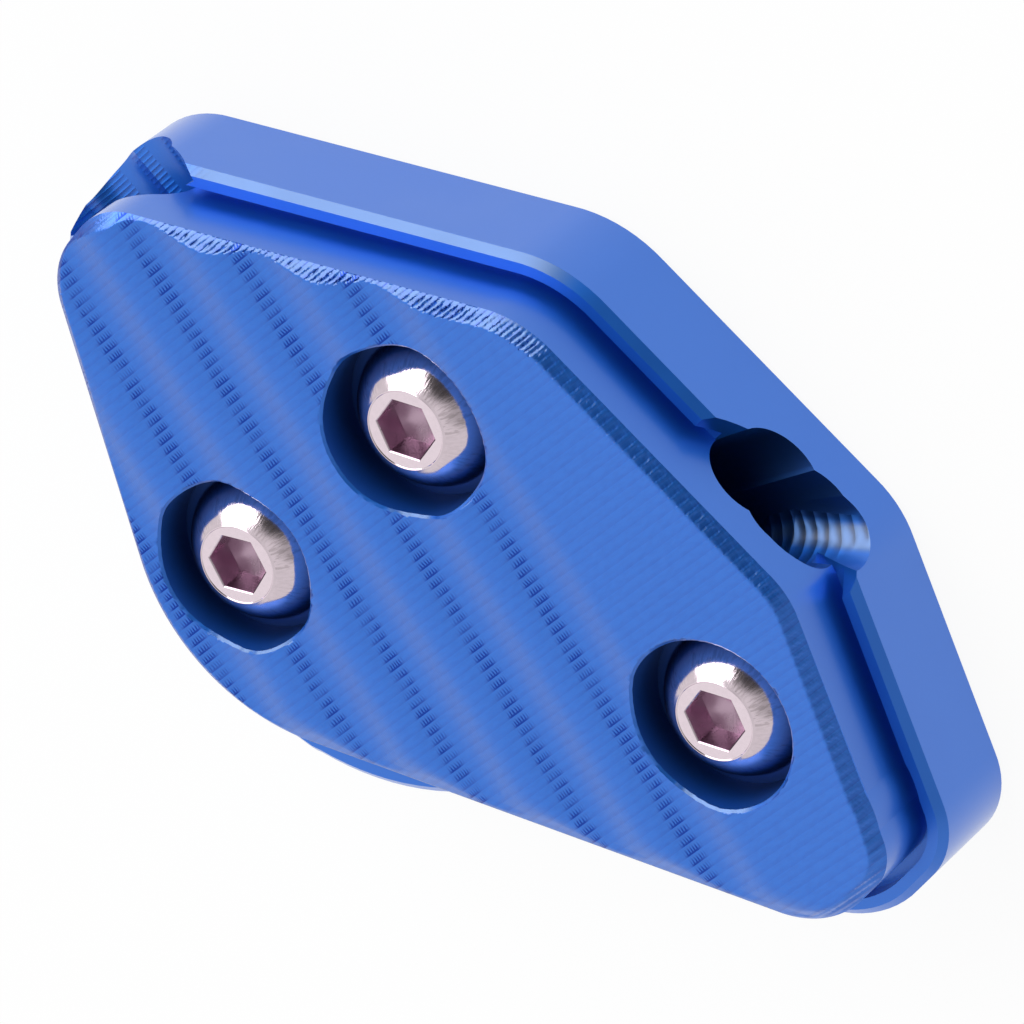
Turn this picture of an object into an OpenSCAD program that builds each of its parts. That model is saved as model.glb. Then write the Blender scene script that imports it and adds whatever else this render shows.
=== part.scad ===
// Kickstand foot enlarger: two machined halves that clamp a bent stand foot between them,
// held by three button-head screws. The grooved face is up and the flat back is on z = 0.
// Plan sizes are measured from the plate's upper straight edge, then centred on the base.

/* [Plate outline] */
// Length of the plate across its two short ends
plate_len = 89.1; // [84:0.5:96]
// X of the left end of the upper straight edge
top_left_x = -10.5; // [-16:0.5:-4]
// X of the right end of the upper straight edge
top_right_x = 22; // [16:0.5:28]
// Slope of the long upper left edge, in degrees
left_slope = 36.4; // [30:0.5:42]
// Slope of the upper right edge, in degrees
right_slope = 29.3; // [24:0.5:34]
// Height of the short left end
left_end = 9; // [7:0.5:12]
// Height of the short right end
right_end = 10; // [8:0.5:13]
// Slope of the lower left edge, in degrees
low_left_slope = 35.3; // [32:0.5:40]
// Slope of the long lower right edge, in degrees
low_right_slope = 32.7; // [29:0.5:36]
// Corner radius where the left end meets the upper left edge
left_top_r = 6.5; // [4:0.5:8]
// Corner radius at the left end of the upper straight edge
top_left_r = 11.3; // [6:0.5:16]
// Corner radius at the right end of the upper straight edge
top_right_r = 8; // [4:0.5:14]
// Corner radius where the upper right edge meets the right end
right_top_r = 4.6; // [3:0.2:7]
// Corner radius where the right end meets the long lower edge
right_low_r = 9; // [5:0.5:11]
// Corner radius of the big lower left corner
low_r = 19.6; // [12:0.5:24]
// Corner radius where the lower left edge meets the left end
left_low_r = 7.3; // [4:0.5:9]

/* [Base outline] */
// How far the base stands out past the plate
rim_out = 2.7; // [2:0.1:4]
// Slope of the base's long lower edge, in degrees
base_low_slope = 35.9; // [34:0.1:37]
// Slope of the base's short toe edge, in degrees
toe_slope = 13; // [8:1:18]
// X of the corner between the toe edge and the long lower edge
toe_x = 1; // [-3:0.5:6]
// Height of the base's short right end
base_right_end = 12.3; // [10:0.1:14]
// Corner radius between the base's right end and its long lower edge
base_right_low_r = 10.6; // [6:0.2:12]
// Corner radius of the toe corner
toe_r = 4; // [2:0.5:8]
// Corner radius of the base's big lower left corner
base_low_r = 25; // [16:0.5:27]

/* [Heights] */
// Thickness of the base below the parting plane
base_floor = 9.1; // [8:0.1:12]
// Height of the rim above the parting plane
rim_h = 1.9; // [1.2:0.1:2.6]
// Thickness of the plate
plate_t = 8.6; // [8:0.1:11]

/* [Edges] */
// Gap between the plate's wall and the rim
plate_gap = 1; // [0.6:0.1:1.4]
// Chamfer on the rim's outer edge
rim_chamfer = 0.7; // [0.3:0.1:1]
// Chamfer on the base's back edge
back_chamfer = 0.5; // [0.2:0.1:1]
// Chamfer round the plate's face
plate_chamfer = 1.2; // [0.8:0.1:1.6]
// Width of the wide bevel along the plate's long lower edge
bevel_w = 2.3; // [1.6:0.1:3]

/* [Waves] */
// Distance from one valley to the next
wave_pitch = 9.1; // [7:0.1:12]
// Depth of a valley below the flat face
wave_depth = 0.9; // [0.4:0.1:1.2]
// Slope of the valleys, falling to the right, in degrees
wave_slope = 17; // [0:1:30]
// Distance from the upper left screw to the first valley, across the valleys
wave_start = 5.1; // [3:0.1:9]

/* [Screws] */
// Thread diameter
screw_d = 8; // [6:1:8]
// Length under the head
screw_len = 12; // [10:1:12]
// Head diameter
head_d = 14; // [10.5:0.5:14]
// Head height
head_h = 4.4; // [3.3:0.1:4.6]
// Radius of the domed head
dome_r = 7.5; // [7.2:0.1:8.2]
// Height of the head's straight edge under the dome
head_edge = 0.6; // [0.3:0.1:1]
// Hexagon socket size across its flats
hex_af = 5; // [4:0.5:6]
// Depth of the socket
hex_depth = 3; // [2.4:0.1:3.2]
// Depth of the drill point under the socket
hex_point = 0.6; // [0.3:0.1:0.8]
// Chamfer at the end of the thread
screw_chamfer = 0.8; // [0.4:0.1:1]
// Depth of the screw heads below the plate's flat face
head_sink = 1; // [0.4:0.1:1.5]
// Gap round a screw head in its counterbore
head_gap = 1; // [0.5:0.1:1.2]
// Gap round a screw in its plain hole through the plate
shank_gap = 0.5; // [0.2:0.1:0.7]
// Gap round a screw in its tapped hole in the base
thread_gap = 0.05; // [0.03:0.01:0.1]
// Small chamfer at the mouths of the tapped holes
hole_chamfer = 0.25; // [0.1:0.05:0.5]
// Small chamfer at the mouths of the counterbores, measured from the flat face
bore_chamfer = 0.3; // [0.2:0.05:0.4]
// X of the upper screw
upper_x = -11.5; // [-14:0.1:-9]
// Distance of the upper screw below the plate's upper straight edge
upper_down = 17.7; // [16:0.1:20]
// X of the lower screw
lower_x = -14.7; // [-17:0.1:-12]
// Distance of the lower screw below the plate's upper straight edge
lower_down = 42.5; // [40:0.1:44]
// X of the right screw
right_x = 24.9; // [22:0.1:27]
// Distance of the right screw below the plate's upper straight edge
right_down = 15.5; // [13:0.1:18]

/* [Groove for the stand foot] */
// Diameter of each of the groove's two passes, which lie side by side
groove_d = 7.8; // [6:0.1:8]
// Distance between the middles of the two passes
pass_gap = 3.9; // [2:0.1:4.2]
// Distance of the left mouth's middle below the plate's upper straight edge
groove_left_down = 27.2; // [26:0.1:29]
// Fall of the groove's left run towards the middle, in degrees
groove_fall = 4.8; // [3:0.2:6]
// X at which the right run crosses the plate's upper straight edge
groove_exit_x = 14.4; // [13:0.1:16]
// Lean of the right run from square, in degrees
groove_lean = 24; // [18:1:28]
// Bend radius of the groove's middle line
groove_bend_r = 17.2; // [14:0.2:20]
// Diameter of the slanted cut that widens the right mouth
flare_d = 7.7; // [5.8:0.1:7.9]
// Angle of that cut from the groove, in degrees
flare_turn = 19.5; // [10:0.5:24]
// Distance inside the base's upper edge at which that cut starts, along the groove
flare_len = 4.2; // [3:0.2:6]
// Radius of the shallow scoop across the rim at the left mouth
left_scoop_r = 9.5; // [9.2:0.1:12]
// Half the width of the left scoop at the rim's face
left_scoop_half = 8.2; // [7.6:0.1:8.8]
// Shift of the left scoop from the groove's middle towards the upper edge
left_scoop_shift = 0.8; // [0:0.1:1.2]
// Turn of the left scoop from the groove, in degrees
left_scoop_turn = 15; // [0:1:20]
// Radius of the shallow scoop across the rim at the right mouth
right_scoop_r = 12.4; // [11:0.2:16]
// Half the width of the right scoop at the rim's face
right_scoop_half = 9.6; // [8.5:0.1:10.5]
// Turn of the right scoop from the groove, in degrees
right_scoop_turn = 19; // [0:1:22]
// Shift of the right scoop from the groove's middle along the edge
right_scoop_shift = 0.2; // [-1:0.1:1]

/* [Hidden] */
$fn = 96;
// Steps per wave in the plate's face
WAVE_STEPS = 16;
// Waves modelled below the first valley
WAVES = 6;
// How far cutting shapes run past what they cut
OVER = 4;
// How far the round corners stand out past the straight edges, so that the two cross cleanly
PROUD = 0.004;
// How much narrower the groove is round its bend than in its straight runs
BEND_STEP = 0.04;
// Colours of the anodised halves and of the steel screws
BLUE = [0.05, 0.22, 0.62];
STEEL = [0.78, 0.76, 0.77];

half_len = plate_len / 2;
base_half = half_len + rim_out;

// Where the line through p at angle a meets the line through q at angle b
function meet(p, a, q, b) =
    let (s = ((q.x - p.x) * sin(b) - (q.y - p.y) * cos(b)) / sin(b - a))
    p + s * [cos(a), sin(a)];

// The outline's corner points, anticlockwise from the upper left, each with its radius
left_top = meet([top_left_x, 0], left_slope, [-half_len, 0], 90);
right_top = meet([top_right_x, 0], -right_slope, [half_len, 0], 90);
left_low = left_top - [0, left_end];
right_low = right_top - [0, right_end];
low = meet(left_low, -low_left_slope, right_low, low_right_slope);
PLATE = [
    [top_left_x, 0, top_left_r],
    [left_top.x, left_top.y, left_top_r],
    [left_low.x, left_low.y, left_low_r],
    [low.x, low.y, low_r],
    [right_low.x, right_low.y, right_low_r],
    [right_top.x, right_top.y, right_top_r],
    [top_right_x, 0, top_right_r]
];

// The base keeps its distance from the plate on all edges but the two lower right ones
function out(p, a, d) = p + d * [-sin(a), cos(a)];
base_top_left = meet([0, rim_out], 0, out(left_top, left_slope, rim_out), left_slope);
base_top_right = meet([0, rim_out], 0, out(right_top, -right_slope, rim_out), -right_slope);
base_left_top = meet(base_top_left, left_slope, [-base_half, 0], 90);
base_right_top = meet(base_top_right, -right_slope, [base_half, 0], 90);
base_left_low = meet(out(left_low, -low_left_slope, -rim_out), -low_left_slope, [-base_half, 0], 90);
base_right_low = base_right_top - [0, base_right_end];
toe = meet(base_right_low, base_low_slope, [toe_x, 0], 90);
base_low = meet(base_left_low, -low_left_slope, toe, toe_slope);
BASE = [
    [base_top_left.x, base_top_left.y, top_left_r + rim_out],
    [base_left_top.x, base_left_top.y, left_top_r + rim_out],
    [base_left_low.x, base_left_low.y, left_low_r + rim_out],
    [base_low.x, base_low.y, base_low_r],
    [toe.x, toe.y, toe_r],
    [base_right_low.x, base_right_low.y, base_right_low_r],
    [base_right_top.x, base_right_top.y, right_top_r + rim_out],
    [base_top_right.x, base_top_right.y, top_right_r + rim_out]
];

// Outward normal of the edge from a to b on an anticlockwise outline
function normal(a, b) = let (d = [b.x - a.x, b.y - a.y]) [d.y, -d.x] / norm(d);
// Each corner as [arc centre, radius, normal before it, normal after it]
function arcs(o) = [for (i = [0:len(o) - 1])
    let (p = o[i], m = normal(o[(i + len(o) - 1) % len(o)], p), n = normal(p, o[(i + 1) % len(o)]))
    [[p.x, p.y] - p[2] * (m + n) / (1 + m * n), p[2], m, n]];
// The tangent points of the outline's arcs when it is grown by g
function ring(o, g) = [for (c = arcs(o)) each [c[0] + (c[1] + g) * c[2], c[0] + (c[1] + g) * c[3]]];
// The lowest y that an outline's arcs reach
function lowest(o) = min([for (c = arcs(o)) c[0].y - c[1]]);

// Moving the plan so that the base is centred on the origin
centre_y = (rim_out + lowest(BASE)) / 2;
parting_z = base_floor;
rim_z = parting_z + rim_h;
face_z = parting_z + plate_t;

// The flat region of an outline grown by g
module flat(o, g) {
    polygon(ring(o, g));
    for (c = arcs(o)) translate(c[0]) circle(r = c[1] + g + PROUD);
}

// An outline whose edge slopes from grown by g0 at the bottom to g1 at height h
module sloped(o, g0, g1, h) {
    n = 2 * len(o);
    polyhedron(
        points = concat(
            [for (p = ring(o, g0)) [p.x, p.y, 0]],
            [for (p = ring(o, g1)) [p.x, p.y, h]]),
        faces = concat(
            [[for (i = [0:n - 1]) i], [for (i = [0:n - 1]) 2 * n - 1 - i]],
            [for (i = [0:n - 1]) [(i + 1) % n, i, i + n, (i + 1) % n + n]]));
    for (c = arcs(o)) translate(c[0]) cylinder(h = h, r1 = c[1] + g0 + PROUD, r2 = c[1] + g1 + PROUD);
}

// Plan coordinates of the groove's runs, measured from the plate's upper straight edge
function dir(a) = [cos(a), sin(a)];
left_mouth = [-base_half, -groove_left_down];
right_dir = 90 - groove_lean;
right_mouth = [groove_exit_x, 0] + rim_out / sin(right_dir) * dir(right_dir);
bend = meet(left_mouth, -groove_fall, right_mouth, right_dir);
bend_turn = right_dir + groove_fall;
bend_back = groove_bend_r * tan(bend_turn / 2);
bend_start = bend - bend_back * dir(-groove_fall);
bend_end = bend + bend_back * dir(right_dir);
bend_centre = bend_start + groove_bend_r * dir(90 - groove_fall);

// A round bar along angle a, from d0 to d1 past the plan point p
module bar(p, a, d0, d1, d) {
    translate([p.x, p.y, 0]) rotate([0, 0, a]) translate([d0, 0, 0]) rotate([0, 90, 0])
        cylinder(h = d1 - d0, d = d);
}

// One pass of the groove, to the right of its middle line by g as it runs from left to right.
// Its straight runs end a little way, lap, inside its bend.
module groove_pass(g, lap) {
    side_left = g * dir(-90 - groove_fall);
    side_right = g * dir(right_dir - 90);
    run_left = norm(bend_start - left_mouth) + OVER;
    run_right = norm(right_mouth - bend_end) + OVER;
    bar(bend_start + side_left, -groove_fall, -run_left, lap, groove_d);
    bar(bend_end + side_right, right_dir, -lap, run_right, groove_d);
    translate([bend_centre.x, bend_centre.y, 0]) rotate([0, 0, -90 - groove_fall])
        rotate_extrude(angle = bend_turn) translate([groove_bend_r + g, 0]) circle(d = groove_d - BEND_STEP);
}

// The whole groove as a solid on the parting plane
module groove() {
    translate([0, 0, parting_z]) {
        groove_pass(-pass_gap / 2, 0.3);
        groove_pass(pass_gap / 2, 0.6);
        bar(right_mouth + pass_gap / 2 * dir(right_dir - 90) - flare_len * dir(right_dir),
            right_dir - flare_turn, 0, 3 * flare_len, flare_d);
    }
}

// A shallow scoop of radius r across the rim along angle a, half its width at the rim's face given
module scoop(p, a, r, half) {
    translate([0, 0, rim_z + sqrt(r * r - half * half)]) bar(p, a, -1.5 * rim_out, 4 * rim_out, 2 * r);
}

// Plan position of each screw
upper_at = [upper_x, -upper_down];
lower_at = [lower_x, -lower_down];
right_at = [right_x, -right_down];
SCREWS = [upper_at, lower_at, right_at];
bore_d = head_d + 2 * head_gap;
seat_z = face_z - head_sink - head_h;

// A round hole up from z0 to z1 with a chamfer that opens at its mouth on z1
module hole(d, z0, z1) {
    translate([0, 0, z0 - OVER]) cylinder(h = z1 - z0 + OVER, d = d);
    translate([0, 0, z1 - hole_chamfer]) cylinder(h = hole_chamfer, d1 = d, d2 = d + 2 * hole_chamfer);
    translate([0, 0, z1]) cylinder(h = OVER, d = d + 2 * hole_chamfer);
}

// Base: the flat back, the pocket for the plate, the raised rim and half of the groove
module base_body() color(BLUE) translate([0, -centre_y, 0]) difference() {
    union() {
        sloped(BASE, -back_chamfer, 0, back_chamfer);
        translate([0, 0, back_chamfer]) linear_extrude(rim_z - rim_chamfer - back_chamfer) flat(BASE, 0);
        translate([0, 0, rim_z - rim_chamfer]) sloped(BASE, 0, -rim_chamfer, rim_chamfer);
    }
    translate([0, 0, parting_z]) linear_extrude(rim_h + OVER) flat(PLATE, plate_gap);
    groove();
    scoop(left_mouth + left_scoop_shift * dir(90 - groove_fall - left_scoop_turn),
        180 - groove_fall - left_scoop_turn, left_scoop_r, left_scoop_half);
    scoop(right_mouth + right_scoop_shift * [1, 0], right_dir + right_scoop_turn, right_scoop_r, right_scoop_half);
    for (p = SCREWS) translate(p) {
        hole(screw_d + 2 * thread_gap, 0, parting_z);
        mirror([0, 0, 1]) translate([0, 0, -hole_chamfer])
            cylinder(h = hole_chamfer + OVER, d1 = screw_d, d2 = screw_d + 2 * (hole_chamfer + OVER));
    }
}

// The region under the waved face, with valleys along the slope of the waves
module waves() {
    top = upper_at * [sin(wave_slope), cos(wave_slope)] + wave_start;
    first = top + wave_pitch / 2;
    n = WAVE_STEPS * WAVES;
    far = plate_len;
    rotate([0, 0, -wave_slope]) translate([-far, 0, 0]) rotate([90, 0, 90]) linear_extrude(2 * far)
        polygon(concat(
            [[-far, 0], [far, 0], [far, face_z]],
            [for (i = [0:n]) [first - i * wave_pitch / WAVE_STEPS,
                face_z - wave_depth * (1 - cos(i * 360 / WAVE_STEPS)) / 2]],
            [[-far, face_z]]));
}

// The wide bevel along the plate's long lower edge, as the piece that is cut away
module long_bevel() {
    reach = 2 * plate_len;
    translate([right_low.x, right_low.y, face_z]) rotate([0, 0, low_right_slope]) rotate([90, 0, -90])
        linear_extrude(reach, center = true) polygon([
            [-bevel_w, 0], [0, -plate_chamfer], [bevel_w, -2 * plate_chamfer], [bevel_w, OVER], [-bevel_w, OVER]]);
}

// Plate: the waved face, the counterbores and the other half of the groove
module clamp_plate() color(BLUE) translate([0, -centre_y, 0]) difference() {
    intersection() {
        union() {
            translate([0, 0, parting_z]) linear_extrude(plate_t - plate_chamfer) flat(PLATE, 0);
            translate([0, 0, face_z - plate_chamfer]) sloped(PLATE, 0, -plate_chamfer, plate_chamfer);
        }
        waves();
    }
    long_bevel();
    groove();
    for (p = SCREWS) translate(p) {
        translate([0, 0, parting_z - OVER]) cylinder(h = plate_t, d = screw_d + 2 * shank_gap);
        translate([0, 0, seat_z]) cylinder(h = plate_t, d = bore_d);
        translate([0, 0, face_z - bore_chamfer])
            cylinder(h = 2 * bore_chamfer, d1 = bore_d, d2 = bore_d + 4 * bore_chamfer);
    }
}

// One button-head screw, standing on its seat at a plan position
module screw(p) {
    dome_z = head_edge - sqrt(dome_r * dome_r - head_d * head_d / 4);
    color(STEEL) translate([p.x, p.y - centre_y, seat_z]) difference() {
        union() {
            intersection() {
                cylinder(h = head_h, d = head_d);
                translate([0, 0, dome_z]) sphere(r = dome_r);
            }
            translate([0, 0, screw_chamfer - screw_len]) cylinder(h = screw_len - screw_chamfer, d = screw_d);
            translate([0, 0, -screw_len])
                cylinder(h = screw_chamfer, d1 = screw_d - 2 * screw_chamfer, d2 = screw_d);
        }
        translate([0, 0, head_h - hex_depth]) cylinder(h = head_h, d = hex_af / cos(30), $fn = 6);
        translate([0, 0, head_h - hex_depth - hex_point]) cylinder(h = hex_point, d1 = 0, d2 = hex_af);
    }
}

module screw_upper() screw(upper_at);
module screw_lower() screw(lower_at);
module screw_right() screw(right_at);

base_body();
clamp_plate();
screw_upper();
screw_lower();
screw_right();
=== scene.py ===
"""Looks for a kickstand foot enlarger: two blue anodised halves and three steel button screws.

Objects and materials are in metres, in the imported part's own frame: the flat back lies on z = 0,
the waved face is up, and the base's outline is centred on the origin. The classes keep their
sizes in millimetres and degrees, unless they say otherwise.
"""

import logging
import math
from collections.abc import Iterator
from dataclasses import dataclass, field
from enum import Enum
from functools import reduce

import bpy
import numpy as np
from mathutils import Matrix, Vector
from mathutils.geometry import delaunay_2d_cdt


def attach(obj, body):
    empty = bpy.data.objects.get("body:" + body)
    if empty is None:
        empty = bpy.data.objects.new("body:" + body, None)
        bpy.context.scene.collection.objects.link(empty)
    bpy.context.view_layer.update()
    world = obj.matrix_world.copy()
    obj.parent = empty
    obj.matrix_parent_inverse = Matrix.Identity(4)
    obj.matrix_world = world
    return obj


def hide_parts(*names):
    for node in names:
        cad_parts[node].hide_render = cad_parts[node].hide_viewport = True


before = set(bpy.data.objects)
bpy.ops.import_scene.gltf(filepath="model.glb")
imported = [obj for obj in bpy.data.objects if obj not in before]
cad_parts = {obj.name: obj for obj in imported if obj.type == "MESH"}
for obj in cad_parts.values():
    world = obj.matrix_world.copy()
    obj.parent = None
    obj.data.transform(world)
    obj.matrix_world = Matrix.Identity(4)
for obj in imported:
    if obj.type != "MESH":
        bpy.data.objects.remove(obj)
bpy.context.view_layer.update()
log = logging.getLogger("foot_enlarger")

Socket = bpy.types.NodeSocket
Triple = tuple[float, float, float]
Face = tuple[int, ...]
Grid = tuple[np.ndarray, float, float, float, float]

MM = 0.001
PER_METRE = 1000.0
FULL_TURN = 2 * math.pi
FAR = 1e9
PLAN_SHIFT = 27.7111
PARTING_Z = 9.1
SEAT_Z = 12.3
UP: Triple = (0.0, 0.0, 1.0)
RIGHT_RUN: Triple = (0.407, 0.914, 0.0)
RIGHT_ACROSS: Triple = (0.914, -0.407, 0.0)
LEFT_RUN: Triple = (0.996, -0.084, 0.0)


class Cut(Enum):
    """How a surface of the anodised halves was machined."""

    RASTER = "raster passes of a ball cutter over the waved face"
    WALL = "smooth side milling"
    # Both grooved cuts get painted shade inside the groove's right run.
    GROOVE = "ball-cut groove with ribs near its mouths"
    BODY = "side milling outside and the ball-cut groove inside"
    # The counterbore's darkening towards its floor is painted shade.
    BORE = "counterbore, darker towards its floor"


class Wiring:
    """Short calls for wiring the nodes of one material or world.

    They take numbers, colours and sockets alike, and give the socket of their result.
    """

    def __init__(self, tree: bpy.types.NodeTree) -> None:
        """Keeps the node tree that the calls work on."""
        self.tree = tree

    def node(self, kind: str, **settings: object) -> bpy.types.Node:
        """Adds a node.

        Args:
            kind: Blender's name of the node type.
            **settings: Attributes to set on it.

        Returns:
            The new node.
        """
        made = self.tree.nodes.new(kind)
        for key, value in settings.items():
            setattr(made, key, value)
        return made

    def link(self, source: Socket, target: Socket) -> None:
        """Links one socket to another."""
        self.tree.links.new(source, target)

    def result(
        self, kind: str, fills: dict[int | str, object], out: int | str = 0, **settings: object
    ) -> Socket:
        """Adds a node, fills its inputs and picks one of its outputs.

        Args:
            kind: Blender's name of the node type.
            fills: Number, colour or socket for each input, by the input's index or name.
            out: Index or name of the output.
            **settings: Attributes to set on the node.

        Returns:
            The output's socket.
        """
        node = self.node(kind, **settings)
        for key, value in fills.items():
            if isinstance(value, Socket):
                self.link(value, node.inputs[key])
            else:
                node.inputs[key].default_value = value
        return node.outputs[out]

    def math(self, operation: str, a: object, b: object = 0.0, clamp: bool = False) -> Socket:
        """Adds a Math node, whose result can be kept between 0 and 1."""
        return self.result("ShaderNodeMath", {0: a, 1: b}, operation=operation, use_clamp=clamp)

    def times(self, *terms: object) -> Socket:
        """Multiplies its terms."""
        return reduce(lambda a, b: self.math("MULTIPLY", a, b), terms)

    def plus(self, *terms: object) -> Socket:
        """Adds its terms."""
        return reduce(lambda a, b: self.math("ADD", a, b), terms)

    def minus(self, a: object, b: object) -> Socket:
        """Takes the second term from the first."""
        return self.math("SUBTRACT", a, b)

    def most(self, *terms: object) -> Socket:
        """Picks the largest of its terms."""
        return reduce(lambda a, b: self.math("MAXIMUM", a, b), terms)

    def absolute(self, value: Socket) -> Socket:
        """Drops a value's sign."""
        return self.math("ABSOLUTE", value)

    def under(self, value: Socket, limit: float) -> Socket:
        """Gives 1 where a value lies under a limit, and 0 elsewhere."""
        return self.math("LESS_THAN", value, limit)

    def split(self, point: Socket) -> tuple[Socket, ...]:
        """Takes a point apart into its x, y and z."""
        return tuple(self.result("ShaderNodeSeparateXYZ", {0: point}).node.outputs)

    def join(self, x: Socket, y: Socket, z: object = 0.0) -> Socket:
        """Puts a point together from its x, y and z."""
        return self.result("ShaderNodeCombineXYZ", {0: x, 1: y, 2: z})

    def dot(self, point: Socket, way: Triple) -> Socket:
        """Measures a point along a direction."""
        fills = {0: point, 1: way}
        return self.result("ShaderNodeVectorMath", fills, "Value", operation="DOT_PRODUCT")

    def ramp(
        self, value: object, low: float, high: float, to_low: float = 0.0, to_high: float = 1.0
    ) -> Socket:
        """Maps the range from low to high smoothly onto the one from to_low to to_high."""
        fills = dict(enumerate((value, low, high, to_low, to_high)))
        return self.result("ShaderNodeMapRange", fills, interpolation_type="SMOOTHSTEP")

    def noise(self, point: Socket, scale: float, detail: float) -> Socket:
        """Adds a noise texture, from 0 to 1, read at a point."""
        fills = {"Vector": point, "Scale": scale, "Detail": detail}
        return self.result("ShaderNodeTexNoise", fills, "Fac")

    def bump(self, height: Socket, distance: float) -> Socket:
        """Turns a height into a normal. The distance is that of a height of 1, in metres."""
        fills = {"Strength": 1.0, "Distance": distance, "Height": height}
        return self.result("ShaderNodeBump", fills, "Normal")

    def shade(self, factor: object, dark: object, light: object) -> Socket:
        """Mixes two colours: a factor of 0 gives the dark one, and 1 the light one."""
        dark, light = ((*c, 1.0) if isinstance(c, tuple) else c for c in (dark, light))
        return self.result("ShaderNodeMix", {0: factor, 6: dark, 7: light}, 2, data_type="RGBA")


@dataclass(frozen=True)
class Surface:
    """A material's shader and wiring, with the sockets of the point and normal it works from."""

    wires: Wiring
    shader: bpy.types.Node
    place: Socket
    normal: Socket

    def along(self, way: Triple) -> Socket:
        """Measures the point along a direction, in metres."""
        return self.wires.dot(self.place, way)

    def facing(self, way: Triple) -> Socket:
        """Gives the cosine between the normal and a direction."""
        return self.wires.dot(self.normal, way)

    def beside(self, way: Triple, limit: float) -> Socket:
        """Gives 1 where the surface runs along a direction rather than across it."""
        return self.wires.under(self.wires.absolute(self.facing(way)), limit)

    def put(self, source: Socket, name: str) -> None:
        """Links a socket into a named input of the shader."""
        self.wires.link(source, self.shader.inputs[name])


def new_surface(name: str) -> tuple[bpy.types.Material, Surface]:
    """Makes a material with a Principled shader and an object-space point and normal.

    Args:
        name: Name of the material.

    Returns:
        The material and its surface.
    """
    material = bpy.data.materials.new(name)
    material.use_nodes = True
    wires = Wiring(material.node_tree)
    shader = wires.tree.nodes["Principled BSDF"]
    coords = wires.node("ShaderNodeTexCoord")
    return material, Surface(wires, shader, coords.outputs["Object"], coords.outputs["Normal"])


@dataclass(frozen=True)
class Waves:
    """The waves in the plate's face and the raster that cut them."""

    pitch: float = 9.1
    depth: float = 0.9
    slope: float = 17.0
    start: float = 5.1
    from_x: float = -11.5
    from_down: float = 17.7
    raster_angle: float = 81.5
    raster_pitch: float = 0.9303
    cutter_radius: float = 2.3
    lean: float = 0.036
    leaf: float = 0.5
    nick: float = 0.2

    def cusp(self) -> float:
        """Height of the ridge that two neighbouring passes leave."""
        return self.raster_pitch**2 / 8 / self.cutter_radius

    def raster_side(self) -> Triple:
        """Direction from one pass of the raster to the next."""
        a = math.radians(self.raster_angle)
        return math.sin(a), -math.cos(a), 0.0

    def raster_feed(self) -> Triple:
        """Direction along the passes of the raster."""
        a = math.radians(self.raster_angle)
        return math.cos(a), math.sin(a), 0.0

    def across(self) -> Triple:
        """Direction across the valleys."""
        a = math.radians(self.slope)
        return math.sin(a), math.cos(a), 0.0

    def first_crest(self) -> float:
        """Distance across the valleys, in the part's frame, at which the flat face begins."""
        x, y, _ = self.across()
        return self.from_x * x + (PLAN_SHIFT - self.from_down) * y + self.start + self.pitch / 2

    def drop(self, x: np.ndarray, y: np.ndarray) -> np.ndarray:
        """Depth of the waved face below the flat face.

        Args:
            x: X of the points.
            y: Y of the points.

        Returns:
            The depth at each point.
        """
        a = self.across()
        t = (x * a[0] + y * a[1]) - self.first_crest()
        wave = self.depth * (1 - np.cos(FULL_TURN * t / self.pitch)) / 2
        return np.where(t < 0, wave, 0.0)


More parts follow.
